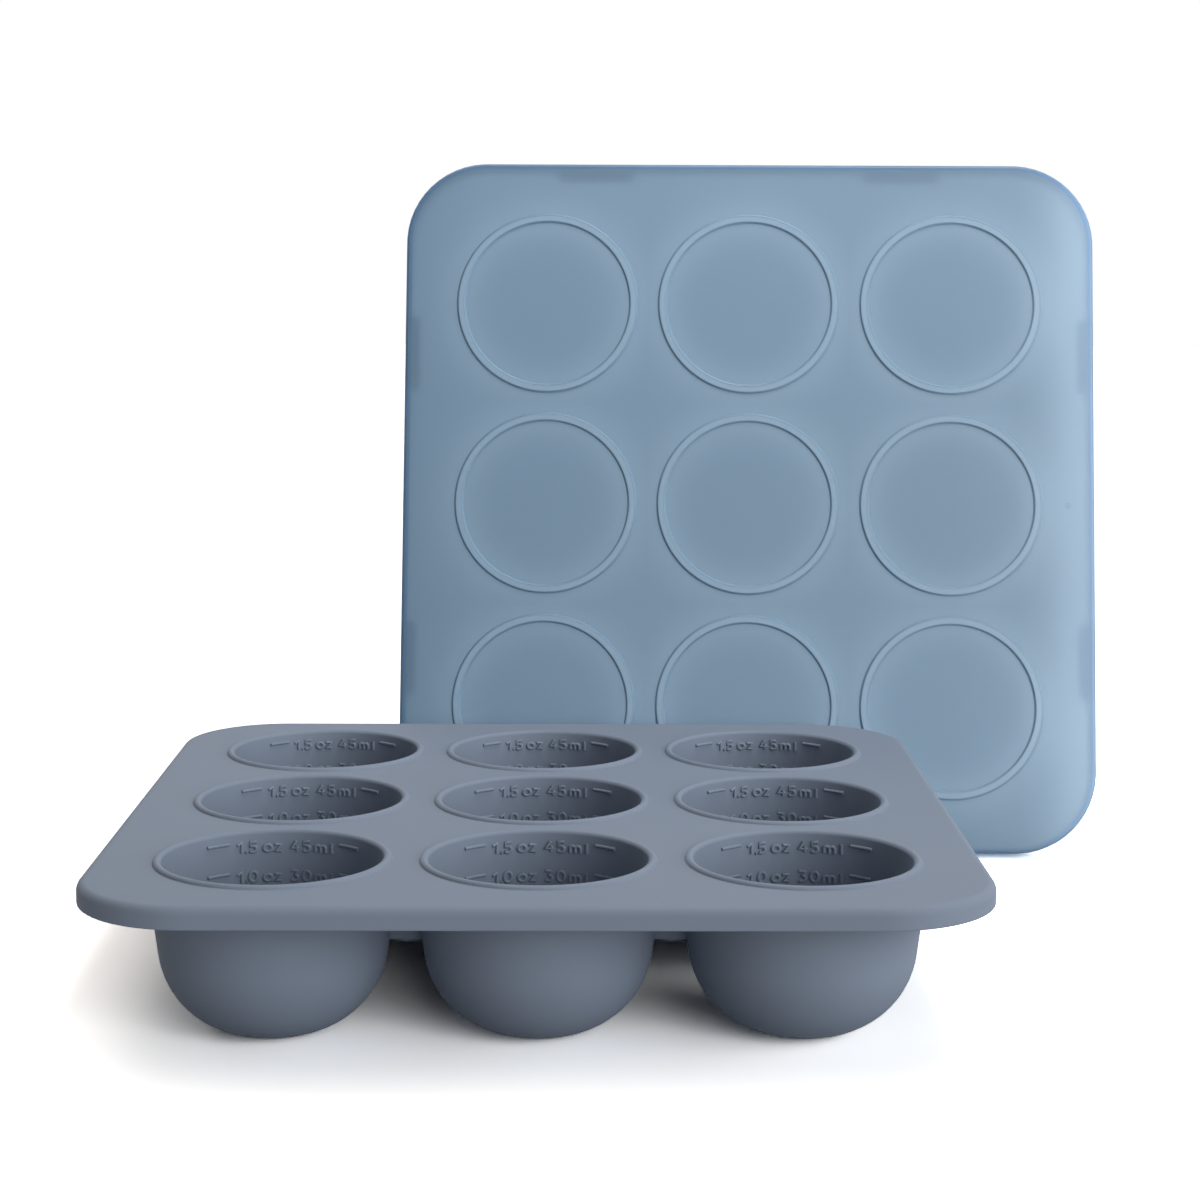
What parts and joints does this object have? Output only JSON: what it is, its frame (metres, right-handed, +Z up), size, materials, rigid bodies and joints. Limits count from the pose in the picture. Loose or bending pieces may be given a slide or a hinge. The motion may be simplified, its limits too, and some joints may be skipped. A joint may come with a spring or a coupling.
{
  "type": "baby food freezer tray",
  "caption": "Square silicone freezer tray with a grid of round bowl-shaped cups and a clip-on translucent lid with a ridge over each cup, standing behind it.",
  "frame": {"origin": "where the flat base of the centre cup meets the table, under the middle of the tray", "axes": "+X to the right along a row of cups, +Y from the front row to the back row and the lid, +Z up"},
  "size_m": [0.2637, 0.2539, 0.2013],
  "materials": {
    "tray_silicone": "matt slate-blue silicone",
    "lid_plastic": "frosted translucent blue polypropylene"
  },
  "bodies": {
    "tray": {"tray_deck": "tray_silicone", "tray_webs": "tray_silicone", "cup_front_left": "tray_silicone", "cup_front_middle": "tray_silicone", "cup_front_right": "tray_silicone", "cup_middle_left": "tray_silicone", "cup_centre": "tray_silicone", "cup_middle_right": "tray_silicone", "cup_back_left": "tray_silicone", "cup_back_middle": "tray_silicone", "cup_back_right": "tray_silicone"},
    "lid": {"lid_panel": "lid_plastic", "lid_skirt": "lid_plastic", "lid_snap_tabs": "lid_plastic"}
  },
  "joints": [
    {"name": "lid_lift", "type": "slide", "parent": "tray", "child": "lid", "axis": [0.0072, 0.2214, 0.9751], "range_m": [0, 0.2]}
  ]
}
